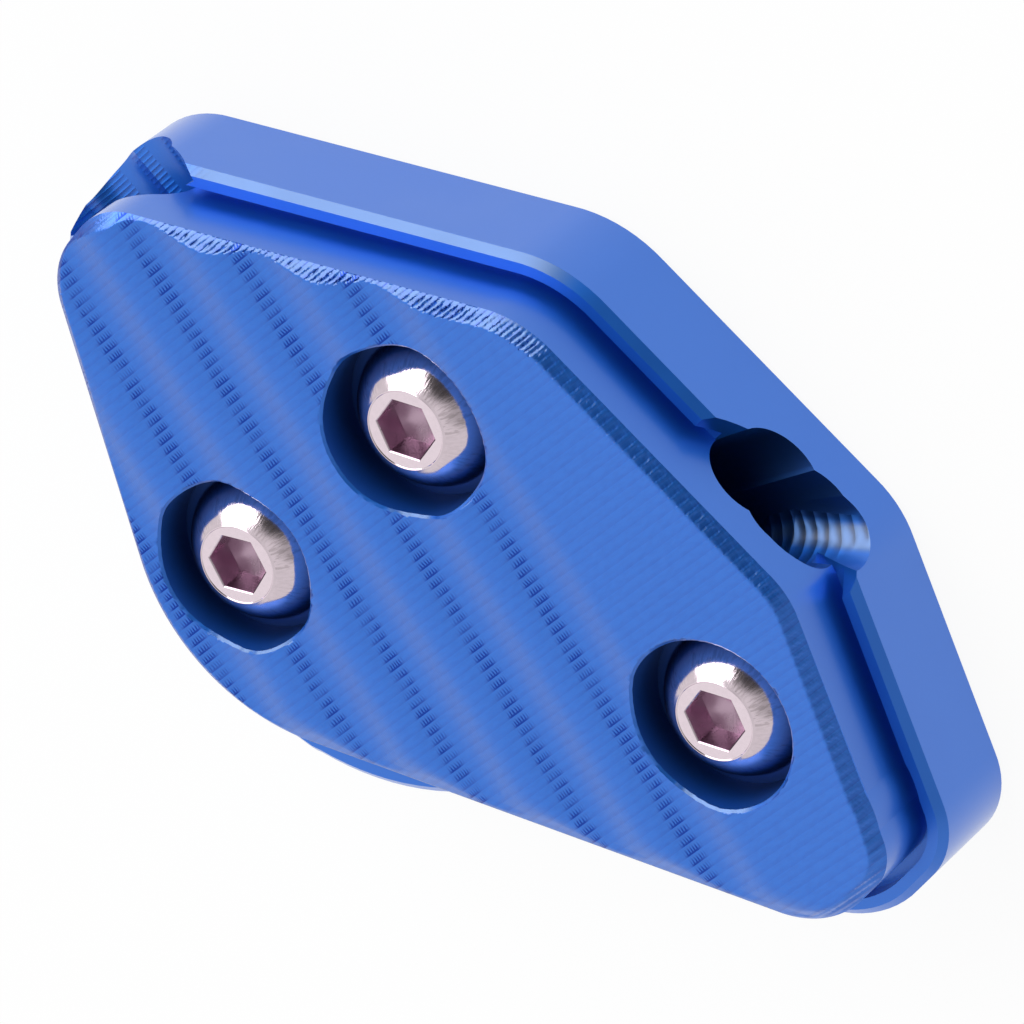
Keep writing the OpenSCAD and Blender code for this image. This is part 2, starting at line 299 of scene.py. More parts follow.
@dataclass(frozen=True)
class Outline:
    """An outline with rounded corners.

    Its corners run anticlockwise, each as x, y and radius. A corner's disc belongs to it whole,
    also where it stands a little proud of the next edge but one.
    """

    corners: tuple[Triple, ...]

    def arcs(self) -> list[tuple[np.ndarray, float, np.ndarray, np.ndarray]]:
        """Works out the corners' arcs.

        Returns:
            Each corner's arc centre, radius, and the outward normals before and after it.
        """
        pts = [np.array(c[:2]) for c in self.corners]
        made = []
        for i, (p, corner) in enumerate(zip(pts, self.corners)):
            m = self._normal(pts[i - 1], p)
            n = self._normal(p, pts[(i + 1) % len(pts)])
            made.append((p - corner[2] * (m + n) / (1 + m @ n), corner[2], m, n))
        return made

    @staticmethod
    def _normal(a: np.ndarray, b: np.ndarray) -> np.ndarray:
        """Outward normal of the edge from a to b."""
        d = (b - a) / np.linalg.norm(b - a)
        return np.array([d[1], -d[0]])

    def from_edge(self, corner: int, points: np.ndarray) -> np.ndarray:
        """Distance inside the edge that ends at a corner."""
        centre, radius, before, _ = self.arcs()[corner]
        return radius - (points - centre) @ before

    def inside(self, x: np.ndarray, y: np.ndarray) -> np.ndarray:
        """Distance inside the outline, negative outside it.

        Args:
            x: X of the points.
            y: Y of the points.

        Returns:
            The distance at each point.
        """
        arcs = self.arcs()
        depth = np.full(np.shape(x), FAR)
        for centre, radius, before, _ in arcs:
            ahead = (x - centre[0]) * before[0] + (y - centre[1]) * before[1]
            depth = np.minimum(depth, radius - ahead)
        for centre, radius, before, after in arcs:
            wx, wy = x - centre[0], y - centre[1]
            past = (wx * -before[1] + wy * before[0] > 0) & (wx * -after[1] + wy * after[0] < 0)
            depth = np.where(past, radius - np.hypot(wx, wy), depth)
        for centre, radius, _, _ in arcs:
            depth = np.maximum(depth, radius - np.hypot(x - centre[0], y - centre[1]))
        return depth

    def ring(self, inset: float, step: float) -> np.ndarray:
        """Points along the outline moved inward.

        Args:
            inset: How far it is moved inward.
            step: Spacing of the points.

        Returns:
            The points, one row each.
        """
        least = 0.02
        arcs = self.arcs()
        rows: list[np.ndarray] = []
        for i, (centre, radius, before, after) in enumerate(arcs):
            r = max(radius - inset, least)
            a0 = math.atan2(before[1], before[0])
            turn = (math.atan2(after[1], after[0]) - a0) % FULL_TURN
            n = max(4, round(radius * turn / step))
            a = a0 + turn * np.arange(n + 1) / n
            rows.append(centre + r * np.c_[np.cos(a), np.sin(a)])
            nxt = arcs[(i + 1) % len(arcs)]
            p, q = rows[-1][-1], nxt[0] + max(nxt[1] - inset, least) * nxt[2]
            m = max(1, round(np.linalg.norm(q - p) / step))
            rows.append(p + (q - p) * (np.arange(1, m) / m)[:, None])
        points = np.vstack(rows)
        for centre, radius, _, _ in arcs:
            away = points - centre
            far = np.maximum(np.linalg.norm(away, axis=1), 1e-6)
            push = np.where(far < radius - inset, (radius - inset) / far, 1.0)
            points = centre + away * push[:, None]
        return points


def meet(
    p: tuple[float, float], a: float, q: tuple[float, float], b: float
) -> tuple[float, float]:
    """Finds where two lines meet.

    Args:
        p: A point of the first line.
        a: The first line's angle.
        q: A point of the second line.
        b: The second line's angle.

    Returns:
        The point where they meet.
    """
    a, b = math.radians(a), math.radians(b)
    s = ((q[0] - p[0]) * math.sin(b) - (q[1] - p[1]) * math.cos(b)) / math.sin(b - a)
    return p[0] + s * math.cos(a), p[1] + s * math.sin(a)


@dataclass(frozen=True)
class PlateSizes:
    """Sizes of the clamp plate."""

    length: float = 89.1
    top_left_x: float = -10.5
    top_right_x: float = 22.0
    left_slope: float = 36.4
    right_slope: float = 29.3
    left_end: float = 9.0
    right_end: float = 10.0
    low_left_slope: float = 35.3
    low_right_slope: float = 32.7
    radii: tuple[float, ...] = (11.3, 6.5, 7.3, 19.6, 9.0, 4.6, 8.0)
    face_z: float = 17.7
    chamfer: float = 1.2
    bevel: float = 2.3
    bore_r: float = 8.0
    bore_chamfer: float = 0.22
    screws: tuple[tuple[float, float], ...] = ((-11.5, 17.7), (-14.7, 42.5), (24.9, 15.5))

    def outline(self) -> Outline:
        """Works out the plate's outline.

        Returns:
            The outline in the part's frame.
        """
        half = self.length / 2
        top_left, top_right = (self.top_left_x, 0), (self.top_right_x, 0)
        left_top = meet(top_left, self.left_slope, (-half, 0), 90)
        right_top = meet(top_right, -self.right_slope, (half, 0), 90)
        left_low = (left_top[0], left_top[1] - self.left_end)
        right_low = (right_top[0], right_top[1] - self.right_end)
        low = meet(left_low, -self.low_left_slope, right_low, self.low_right_slope)
        pts = (top_left, left_top, left_low, low, right_low, right_top, top_right)
        return Outline(tuple((x, y + PLAN_SHIFT, r) for (x, y), r in zip(pts, self.radii)))

    def wall_top(self) -> float:
        """Height at which the outer wall ends and the chamfer begins."""
        return self.face_z - self.chamfer

    def lip_r(self) -> float:
        """Radius of a counterbore at the face, its lip included."""
        return self.bore_r + self.bore_chamfer

    def screw_places(self) -> list[np.ndarray]:
        """Plan position of each screw in the part's frame."""
        return [np.array([x, PLAN_SHIFT - down]) for x, down in self.screws]

    def from_screw(self, point: Vector) -> float:
        """Distance in plan from a point in metres to the nearest screw."""
        return min(math.dist(point.xy / MM, place) for place in self.screw_places())


@dataclass(frozen=True)
class AnodisedFinish:
    """Blue anodised aluminium: a coloured metal under a thin clear oxide layer.

    The places in its methods and the height of its ribs are in metres. Its colours carry a painted
    highlight and painted shade.
    """

    name: str
    cut: Cut
    colour: Triple = (0.013, 0.165, 0.69)
    deep: Triple = (0.002, 0.044, 0.36)
    # Colour of the painted shade in the counterbores and inside the groove.
    painted_shade_colour: Triple = (0.006, 0.016, 0.066)
    # Colour of the painted highlight, and the fixed direction, half-way between lamp and camera,
    # that a surface must face to get it.
    painted_highlight_colour: Triple = (0.068, 0.155, 0.37)
    painted_highlight_side: Triple = (-0.448, 0.499, 0.742)
    metallic: float = 0.8
    coat: float = 0.9
    coat_roughness: float = 0.22
    coat_ior: float = 1.5
    roughness: float = 0.36
    wall_roughness: float = 0.42
    right_rib_pitch: float = 1.15
    left_rib_pitch: float = 0.5
    rib_height: float = 0.00009
    rung_pitch: float = 0.27
    grain: float = 5200.0

    def material(self) -> bpy.types.Material:
        """Builds the node material for this cut.

        Returns:
            The material.
        """
        material, at = new_surface(self.name)
        w = at.wires
        at.shader.inputs["Metallic"].default_value = self.metallic
        at.shader.inputs["Coat Weight"].default_value = self.coat
        at.shader.inputs["Coat Roughness"].default_value = self.coat_roughness
        at.shader.inputs["Coat IOR"].default_value = self.coat_ior
        cloud = w.noise(at.place, 90.0, 3.0)
        # Painted highlight: a paler colour where the normal faces that fixed direction, weaker at
        # the far left end.
        inward = w.ramp(at.along((1.0, 0.0, 0.0)), -0.0425, -0.0400, 0.3, 1.0)
        painted_highlight = w.times(w.ramp(at.facing(self.painted_highlight_side), 0.92, 0.98), inward)
        dye_and_painted_light = w.shade(painted_highlight, w.shade(cloud, self.worn(), self.colour), self.painted_highlight_colour)
        level = self.roughness if self.cut is Cut.RASTER else self.wall_roughness
        at.put(w.ramp(cloud, 0.3, 0.7, level - 0.03, level + 0.04), "Roughness")
        if self.cut is Cut.RASTER:
            self._raster(at, dye_and_painted_light)
        elif self.cut in (Cut.WALL, Cut.BORE):
            self._plain(at, dye_and_painted_light)
        else:
            self._grooved(at, dye_and_painted_light, painted_highlight)
        return material

    def worn(self) -> Triple:
        """A slightly deeper tone for the cloudy patches of the anodised colour."""
        return tuple(0.12 * d + 0.88 * c for d, c in zip(self.deep, self.colour))

    def _plain(self, at: Surface, dye_and_painted_light: Socket) -> None:
        """Dresses a wall, or a counterbore, which gets painted shade towards its floor.

        Args:
            at: The surface.
            dye_and_painted_light: Socket of the anodised colour, with the painted highlight in it.
        """
        w = at.wires
        if self.cut is Cut.BORE:
            # Painted shade: the counterbore darkens and loses its coat towards its floor.
            down = w.ramp(at.along(UP), 0.0123, 0.0178, 0.8, 0.0)
            dye_and_painted_light = w.shade(down, dye_and_painted_light, self.painted_shade_colour)
            at.put(w.ramp(down, 0.0, 0.8, self.coat, 0.25), "Coat Weight")
        at.put(dye_and_painted_light, "Base Color")
        at.put(w.bump(w.noise(at.place, self.grain, 2.0), 0.0000025), "Normal")

    def _grooved(self, at: Surface, dye_and_painted_light: Socket, painted_highlight: Socket) -> None:
        """Dresses a half's walls and its groove, which has painted shade inside and ribs near the
        mouths.

        Args:
            at: The surface.
            dye_and_painted_light: Socket of the anodised colour, with the painted highlight in it.
            painted_highlight: Socket of the painted highlight, where the surface faces its fixed
                direction.
        """
        w = at.wires
        right = w.times(self._ribs(at, RIGHT_RUN, self.right_rib_pitch), self._ribbed(at))
        at_left = w.times(self._at_left(at), 0.3)
        left = w.times(self._ribs(at, LEFT_RUN, self.left_rib_pitch), at_left)
        # Painted shade inside the groove's right run, left out where the painted highlight falls;
        # the coat thins there too.
        shaded = w.times(self._within(at), w.minus(1.0, painted_highlight))
        at.put(w.shade(w.times(shaded, 0.8), dye_and_painted_light, self.painted_shade_colour), "Base Color")
        at.put(w.ramp(shaded, 0.0, 1.0, self.coat, 0.2), "Coat Weight")
        height = w.plus(right, left, w.times(w.noise(at.place, self.grain, 2.0), 0.03))
        at.put(w.bump(height, self.rib_height), "Normal")

    @staticmethod
    def _within(at: Surface) -> Socket:
        """Finds the groove's right run, inside which shade is painted.

        Args:
            at: The surface.

        Returns:
            Socket of the mask, from 0 to 1.
        """
        w = at.wires
        off = w.absolute(w.minus(at.along(RIGHT_ACROSS), 0.0019))
        span = w.ramp(off, 0.0040, 0.0062, 1.0, 0.0)
        height = w.absolute(w.minus(at.along(UP), PARTING_Z * MM))
        off_joint = w.math("GREATER_THAN", height, 0.00002)
        run = w.math("GREATER_THAN", at.along(RIGHT_RUN), 0.015)
        inner = at.beside(RIGHT_RUN, 0.7)
        return w.times(inner, span, off_joint, w.under(height, 0.0045), run)

    @staticmethod
    def _ribbed(at: Surface) -> Socket:
        """Finds where the ribs show in the lower pass, near the right mouth.

        Args:
            at: The surface.

        Returns:
            Socket of the mask, from 0 to 1.
        """
        w = at.wires
        near = w.ramp(at.along(RIGHT_RUN), 0.0255, 0.0275)
        off = at.along(RIGHT_ACROSS)
        lower = w.times(w.ramp(off, 0.0030, 0.0042), w.ramp(off, 0.0085, 0.0095, 1.0, 0.0))
        return w.times(at.beside(RIGHT_RUN, 0.7), at.beside(UP, 0.97), near, lower)

    @staticmethod
    def _at_left(at: Surface) -> Socket:
        """Finds where the finer ribs of the left mouth show.

        Args:
            at: The surface.

        Returns:
            Socket of the mask, from 0 to 1.
        """
        w = at.wires
        off = w.absolute(w.minus(at.along((0.0, 1.0, 0.0)), 0.0005))
        span = w.ramp(off, 0.008, 0.009, 1.0, 0.0)
        end = w.ramp(at.along((1.0, 0.0, 0.0)), -0.041, -0.037, 1.0, 0.0)
        return w.times(at.beside(LEFT_RUN, 0.6), at.beside(UP, 0.97), span, end)

    @staticmethod
    def _ribs(at: Surface, way: Triple, pitch: float) -> Socket:
        """Draws scallops across the groove, one for each step of the ball cutter.

        Args:
            at: The surface.
            way: Direction along the groove.
            pitch: Spacing of the scallops, in millimetres.

        Returns:
            Socket of the height, from 0 to 1.
        """
        w = at.wires
        wander = w.times(w.noise(at.place, 350.0, 1.0), 0.5)
        phase = w.math("FRACT", w.plus(w.times(at.along(way), PER_METRE / pitch), wander))
        off = w.times(w.minus(phase, 0.5), 2.0)
        return w.times(off, off)

    @staticmethod
    def _flank(at: Surface, waves: Waves) -> Socket:
        """Finds the flank of each wave on which the cutter chattered.

        Args:
            at: The surface.
            waves: The waves.

        Returns:
            Socket of the mask, from 0 to 1.
        """
        w = at.wires
        past = w.minus(at.along(waves.across()), waves.first_crest() * MM)
        turns = w.times(past, PER_METRE / waves.pitch)
        spot = w.math("FRACT", w.plus(turns, 50.0))
        rise, fall = w.ramp(spot, 0.21, 0.28), w.ramp(spot, 0.36, 0.46, 1.0, 0.0)
        patch = w.ramp(w.noise(at.place, 420.0, 2.0), 0.25, 0.65, 0.35, 1.0)
        return w.times(rise, fall, w.under(turns, 0.0), patch)

    def _raster(self, at: Surface, dye_and_painted_light: Socket) -> None:
        """Dresses the waved face: combed marks across the passes, the torn chamfers, and painted
        shade on the chamfers that face minus x and minus y.

        Args:
            at: The surface.
            dye_and_painted_light: Socket of the anodised colour, with the painted highlight in it.
        """
        w, waves = at.wires, Waves()
        feed, side = at.along(waves.raster_feed()), at.along(waves.raster_side())
        hair = w.noise(w.join(side, w.times(feed, 0.3)), 2800.0, 3.0)
        jitter = w.times(w.noise(at.place, 900.0, 1.0), 0.9)
        rung = w.math("FRACT", w.plus(w.times(feed, PER_METRE / self.rung_pitch), jitter))
        tooth = w.ramp(w.absolute(w.minus(rung, 0.5)), 0.14, 0.34, 1.0, 0.0)
        lane = w.math("FRACT", w.plus(w.times(side, PER_METRE / waves.raster_pitch), 100.5))
        comb = w.times(tooth, w.ramp(lane, 0.10, 0.62))
        line = w.ramp(lane, 0.72, 0.90, 0.0, 0.85)
        mark = w.times(w.most(comb, line), self._flank(at, waves))
        tilt_x, _, tilt_z = w.split(at.normal)
        edge = w.ramp(tilt_z, 0.80, 0.90, 1.0, 0.0)
        # Painted shade: the chamfers facing minus x and minus y get a darker tone and a thinner
        # coat.
        painted_shade_side = w.times(edge, w.ramp(at.facing((-0.7, -0.7, 0.0)), 0.28, 0.5))
        torn = w.times(edge, w.ramp(tilt_x, -0.32, -0.12, 1.0, 0.3))
        leaf = w.math("FRACT", w.times(lane, 2.0))
        slit = w.times(w.ramp(leaf, 0.70, 0.90, 0.0, 0.45), torn)
        stripe = w.times(w.ramp(lane, 0.45, 0.92), 0.2)
        drag = w.times(w.ramp(hair, 0.38, 0.68), w.plus(w.times(torn, 0.2), 0.11))
        # The darker tone mixes the tool marks with the painted shade on those chamfers.
        dark = w.plus(w.most(mark, slit, w.times(painted_shade_side, 0.6)), stripe)
        tone = w.math("SUBTRACT", 1.0, w.plus(dark, drag), clamp=True)
        at.put(w.shade(tone, self.deep, dye_and_painted_light), "Base Color")
        hidden = w.most(mark, w.times(slit, 0.5), painted_shade_side)
        at.put(w.ramp(hidden, 0.0, 1.0, 0.95, 0.1), "Coat Weight")
        grain = w.noise(at.place, 2600.0, 2.0)
        rough = w.plus(w.times(tooth, 0.2), w.times(grain, 0.5), w.times(hair, 0.6))
        at.put(w.bump(w.minus(rough, mark), 0.000012), "Normal")


@dataclass(frozen=True)
class SteelFinish:
    """Polished steel with patches of fine scratches. Its places are in metres."""

    name: str = "polished_steel"
    colour: Triple = (0.80, 0.68, 0.745)
    scratch: Triple = (0.60, 0.51, 0.55)
    socket_colour: Triple = (0.47, 0.33, 0.42)
    roughness: float = 0.09
    rim_low: float = 0.00424
    rim_high: float = 0.0043
    rim_r: float = 0.00398
    socket_top: float = 0.00425
    socket_r: float = 0.00292

    def material(self) -> bpy.types.Material:
        """Builds the node material. Its scratches run outward from each screw's own axis.

        Returns:
            The material.
        """
        material, at = new_surface(self.name)
        w = at.wires
        at.shader.inputs["Metallic"].default_value = 1.0
        x, y, z = w.split(at.place)
        radius = w.math("SQRT", w.plus(w.times(x, x), w.times(y, y)))
        angle = w.math("ARCTAN2", y, x)
        drawn = w.join(w.times(radius, 0.22), w.times(angle, 0.0075), w.times(z, 0.5))
        flat = w.times(w.ramp(z, self.rim_low, self.rim_high), w.under(radius, self.rim_r))
        patch = w.ramp(w.noise(at.place, 330.0, 1.0), 0.42, 0.62, 0.15, 1.0)
        scored = w.times(patch, w.minus(1.0, flat))
        speck = w.times(w.noise(at.place, 2400.0, 3.0), 0.06)
        lines = w.times(w.minus(w.noise(drawn, 2900.0, 4.0), 0.5), scored)
        lines = w.plus(lines, 0.5, speck)
        socket = w.times(w.under(z, self.socket_top), w.under(radius, self.socket_r))
        polish = w.shade(w.ramp(lines, 0.40, 0.58), self.scratch, self.colour)
        at.put(w.shade(socket, polish, self.socket_colour), "Base Color")
        cloud = w.noise(at.place, 420.0, 3.0)
        fog = w.ramp(cloud, 0.3, 0.7, self.roughness, self.roughness + 0.07)
        at.put(w.plus(fog, w.times(socket, 0.12)), "Roughness")
        at.put(w.bump(lines, 0.000016), "Normal")
        return material


def mesh_object(
    name: str, verts: np.ndarray, faces: list[Face], sharp: float = 30.0
) -> bpy.types.Object:
    """Makes a smooth-shaded mesh object with sharp creases.

    Args:
        name: Name of the object.
        verts: Vertices, one row each, in metres.
        faces: Vertex indices of each face.
        sharp: Angle above which an edge stays sharp.

    Returns:
        The new object.
    """
    mesh = bpy.data.meshes.new(name)
    mesh.from_pydata([tuple(v) for v in verts], [], faces)
    mesh.update()
    mesh.polygons.foreach_set("use_smooth", [True] * len(mesh.polygons))
    mesh.set_sharp_from_angle(angle=math.radians(sharp))
    made = bpy.data.objects.new(name, mesh)
    bpy.context.scene.collection.objects.link(made)
    return made


def round_points(n: int) -> np.ndarray:
    """Points evenly round a circle of radius 1, one row each."""
    a = FULL_TURN * np.arange(n) / n
    return np.c_[np.cos(a), np.sin(a)]


@dataclass
class ClampPlate:
    """The front half: its waved face is cut pass by pass, as the real one was.

    The cutting grid has per_pass rows across each pass and a row every feed_step along it. The
    face's mesh is finer in a band along the outline.
    """

    sizes: PlateSizes = field(default_factory=PlateSizes)
    waves: Waves = field(default_factory=Waves)
    per_pass: int = 12
    feed_step: float = 0.1
    passes: int = 56
    feed_rows: int = 420
    swath: int = 16
    band: float = 1.9
    band_step: float = 0.11
    mesh_per_pass: int = 6
    mesh_passes: int = 340
    mesh_along: float = 0.45
    mesh_rows: int = 95
    bore_sides: int = 180
    skirt: float = 0.3
    rim_fade: float = 0.5
    sharp: float = 38.0

    def ideal(self, x: np.ndarray, y: np.ndarray) -> np.ndarray:
        """Height of the face and its edge chamfer before the cutter's marks."""
        edge = self.sizes.wall_top() + self.sizes.outline().inside(x, y)
        return np.minimum(self.sizes.face_z - self.waves.drop(x, y), edge)

    def _ball(self, off: float, stride: int, rows: int) -> Iterator[tuple[int, float, int, int]]:
        """Steps along the feed under the ball cutter, at one distance across it.

        Args:
            off: Distance across from the ball's middle.
            stride: Every how many rows a step is taken.
            rows: Number of the grid's rows along the feed.

        Yields:
            The step in rows, how far the ball's surface lies below its middle there, and the
            first row and the end of those for which the step stays on the grid.
        """
        r = self.waves.cutter_radius
        reach = int(r / self.feed_step)
        for j in range(-reach, reach + 1, stride):
            left = r * r - off**2 - (j * self.feed_step) ** 2
            if left > 0:
                yield j, math.sqrt(left), max(0, -j), min(rows, rows - j)

    def milled(self) -> Grid:
        """Cuts the face with a ball cutter along every pass.

        Returns:
            The height on a grid, with the grid's first u and s and its two steps.
        """
        w, per = self.waves, self.per_pass
        du, ds = w.raster_pitch / per, self.feed_step
        side, feed = w.raster_side(), w.raster_feed()
        first = 4 * per
        u = np.arange(-self.passes * per - first, self.passes * per + first + 1) * du
        s = np.arange(-self.feed_rows, self.feed_rows + 1) * ds
        uu, ss = np.meshgrid(u, s, indexing="ij")
        flat = self.ideal(uu * side[0] + ss * feed[0], uu * side[1] + ss * feed[1])
        n = 2 * self.passes + 1
        reach = int(w.cutter_radius / du)
        centre = np.full((n, len(s)), -FAR)
        for i in range(-reach, reach + 1, 2):
            rows = flat[first + i : first + i + per * n : per][:n]
            for j, lift, lo, hi in self._ball(i * du, 2, len(s)):
                np.maximum(centre[:, lo:hi], rows[:, lo + j : hi + j] + lift, out=centre[:, lo:hi])
        cut = np.full(flat.shape, FAR)
        for i in range(-self.swath, self.swath + 1):
            at = first + per * np.arange(n) + i
            for j, sink, lo, hi in self._ball(i * du, 1, len(s)):
                cut[at, lo:hi] = np.minimum(cut[at, lo:hi], centre[:, lo + j : hi + j] - sink)
        return cut, float(u[0]), float(s[0]), du, ds

    def _read(self, points: np.ndarray, grid: Grid) -> np.ndarray:
        """Reads the milled height at plan points, between the four grid points round each.

        Args:
            points: Plan points, one row each.
            grid: What milled returns.

        Returns:
            The height at each point.
        """
        cut, u0, s0, du, ds = grid
        side, feed = self.waves.raster_side(), self.waves.raster_feed()
        fu = (points[:, 0] * side[0] + points[:, 1] * side[1] - u0) / du
        fs = (points[:, 0] * feed[0] + points[:, 1] * feed[1] - s0) / ds
        i, j = np.floor(fu).astype(int), np.floor(fs).astype(int)
        p, q = fu - i, fs - j
        near = cut[i, j] * (1 - p) * (1 - q) + cut[i + 1, j] * p * (1 - q)
        return near + cut[i, j + 1] * (1 - p) * q + cut[i + 1, j + 1] * p * q

    def _leaves(self, points: np.ndarray, lane: np.ndarray) -> np.ndarray:
        """How far the chamfer is torn up: in leaves at the upper left, in small nicks elsewhere.

        Args:
            points: Plan points, one row each.
            lane: Number of the pass at each point, with its fraction.

        Returns:
            The height added at each point.
        """
        w = self.waves
        peak, dip = 0.8, 0.6
        uneven = 0.7 + 0.3 * np.sin(np.floor(2 * lane) * 12.99)
        part = 2 * lane % 1.0
        upper = self.sizes.outline().from_edge(1, points)
        inward = np.clip((points[:, 0] + 40.0) / 3.0, 0.0, 1.0)
        leaf = w.nick + (w.leaf - w.nick) * (np.clip(3.0 - upper, 0.0, 1.0) * inward)
        saw = np.where(part < peak, part / peak, (1 - part) / (1 - peak)) - dip
        return leaf * uneven * saw

    def _bevelled(self, z: np.ndarray, points: np.ndarray, fade: np.ndarray) -> np.ndarray:
        """Planes off the long bevel, with a soft bend where it meets the face.

        Args:
            z: Height of the face at each point.
            points: Plan points, one row each.
            fade: From 0 at the outline to 1 just inside it.

        Returns:
            The finished height at each point.
        """
        d = self.sizes.outline().from_edge(4, points)
        plane = self.sizes.wall_top() + d * self.sizes.chamfer / self.sizes.bevel
        soft = 0.5 * np.clip(d, 0.0, 1.0) * fade + 1e-6
        share = np.clip(0.5 + 0.5 * (plane - z) / soft, 0.0, 1.0)
        return plane * (1 - share) + z * share - soft * share * (1 - share)

    def heights(self, points: np.ndarray, grid: Grid) -> np.ndarray:
        """Works out the finished face at plan points.

        Args:
            points: Plan points, one row each.
            grid: What milled returns.

        Returns:
            The height at each point.
        """
        size, w = self.sizes, self.waves
        side = w.raster_side()
        lane = (points[:, 0] * side[0] + points[:, 1] * side[1]) / w.raster_pitch + 0.5
        depth = size.outline().inside(points[:, 0], points[:, 1])
        z = self._read(points, grid) - w.cusp() - w.lean * (lane % 1.0)
        z = np.minimum(z, size.wall_top() + depth + self._leaves(points, lane))
        fade = np.clip(depth / self.rim_fade, 0.0, 1.0)
        top = self.ideal(points[:, 0], points[:, 1])
        z = np.minimum(z, size.face_z) * fade + top * (1 - fade)
        return self._bevelled(z, points, fade)

    def face_points(self) -> tuple[np.ndarray, list[tuple[int, int]], int]:
        """Lays out the plan points of the face mesh.

        Returns:
            The points, the edges that must be kept, and the number of points on the outline.
        """
        size, w, n = self.sizes, self.waves, self.bore_sides
        outline = size.outline()
        rows = [outline.ring(0.0, self.band_step)]
        rim = len(rows[0])
        edges = [(k, (k + 1) % rim) for k in range(rim)]
        start = rim
        for place in size.screw_places():
            rows.append(place + size.lip_r() * round_points(n))
            edges += [(start + k, start + (k + 1) % n) for k in range(n)]
            start += n
        for k in range(1, round(self.band / self.band_step) + 1):
            rows.append(outline.ring(k * self.band_step, self.band_step * 1.15))
        side, feed = w.raster_side(), w.raster_feed()
        reach = self.mesh_passes
        u = np.arange(-reach, reach + 1) * w.raster_pitch / self.mesh_per_pass
        s = np.arange(-self.mesh_rows, self.mesh_rows + 1) * self.mesh_along
        uu, ss = np.meshgrid(u, s, indexing="ij")
        x = (uu * side[0] + ss * feed[0]).ravel()
        y = (uu * side[1] + ss * feed[1]).ravel()
        rows.append(np.c_[x, y][outline.inside(x, y) > self.band + 0.1])
        points = np.vstack(rows)
        keep = np.ones(len(points), bool)
        for place in size.screw_places():
            far = np.hypot(*(points - place).T)
            keep[start:] &= far[start:] > size.lip_r() + 0.12
        return points[keep], edges, rim

    def face_mesh(self) -> tuple[np.ndarray, list[Face], int]:
        """Builds the waved face, its chamfers and bevel, and the counterbores' walls.

        Returns:
            Vertices in millimetres, faces, and how many of them are the milled face.
        """
        size = self.sizes
        points, edges, rim = self.face_points()
        found = delaunay_2d_cdt([Vector(p) for p in points], edges, [], 0, 1e-6)
        flat = np.array([tuple(v) for v in found[0]])
        tris = np.array(found[2])
        middle = flat[tris].mean(1)
        keep = np.ones(len(tris), bool)
        for place in size.screw_places():
            far = np.hypot(*(middle - place).T)
            keep &= far > size.bore_r + size.bore_chamfer * 0.97
        tris = tris[keep]
        ahead, aside = flat[tris[:, 1]] - flat[tris[:, 0]], flat[tris[:, 2]] - flat[tris[:, 0]]
        if (ahead[:, 0] * aside[:, 1] - ahead[:, 1] * aside[:, 0]).mean() < 0:
            tris = tris[:, ::-1]
        faces: list[Face] = [tuple(t) for t in tris]
        verts = [np.c_[flat, self.heights(flat, self.milled())]]
        order = {v: k for k, vs in enumerate(found[3]) for v in vs}
        self._add_skirt(verts, faces, [order[k] for k in range(rim)])
        for number, place in enumerate(size.screw_places()):
            start = rim + number * self.bore_sides
            self._add_bore(verts, faces, [order[start + k] for k in range(self.bore_sides)], place)
        return np.vstack(verts), faces, len(tris)

    def _add_skirt(self, verts: list[np.ndarray], faces: list[Face], ring: list[int]) -> None:
        """Adds a short wall under the chamfer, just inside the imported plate's own wall.

        Args:
            verts: Blocks of vertices, to which it adds one.
            faces: Faces, to which it adds its own.
            ring: Numbers of the vertices on the outline.
        """
        base, rim = sum(len(block) for block in verts), len(ring)
        low = np.full(rim, self.sizes.wall_top() - self.skirt)
        verts.append(np.c_[self.sizes.outline().ring(0.01, self.band_step), low])
        for k in range(rim):
            m = (k + 1) % rim
            faces.append((ring[m], ring[k], base + k, base + m))

    def _add_bore(
        self, verts: list[np.ndarray], faces: list[Face], top: list[int], place: np.ndarray
    ) -> None:
        """Adds the lip and the wall of a counterbore, down to its seat.

        Args:
            verts: Blocks of vertices, to which it adds two.
            faces: Faces, to which it adds its own.
            top: Numbers of the vertices round the lip.
            place: Plan position of the counterbore.
        """
        base, n = sum(len(block) for block in verts), len(top)
        wall = place + self.sizes.bore_r * round_points(n)
        lip = verts[0][top, 2] - self.sizes.bore_chamfer
        verts += [np.c_[wall, lip], np.c_[wall, np.full(n, SEAT_Z)]]
        for k in range(n):
            m = (k + 1) % n
            faces.append((top[k], top[m], base + m, base + k))
            faces.append((base + k, base + m, base + n + m, base + n + k))

    def rest_of_plate(self) -> tuple[np.ndarray, list[Face]]:
        """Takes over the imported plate's faces, without those that the face mesh makes.

        Returns:
            Vertices in millimetres and faces.
        """
        size = self.sizes
        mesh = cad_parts["clamp_plate"].data
        co = np.array([v.co for v in mesh.vertices]) / MM
        keep = []
        for face in mesh.polygons:
            pts = co[list(face.vertices)]
            up = face.normal.z > 0.2 and pts[:, 2].min() > SEAT_Z + 0.5
            offs = [np.hypot(*(pts[:, :2] - p).T) - size.bore_r for p in size.screw_places()]
            bore = any(np.all(np.abs(off) < 0.03) for off in offs)
            if not up and not (bore and abs(face.normal.z) < 0.1):
                keep.append(tuple(face.vertices))
        used = sorted({v for f in keep for v in f})
        where = {v: k for k, v in enumerate(used)}
        return co[used], [tuple(where[v] for v in f) for f in keep]

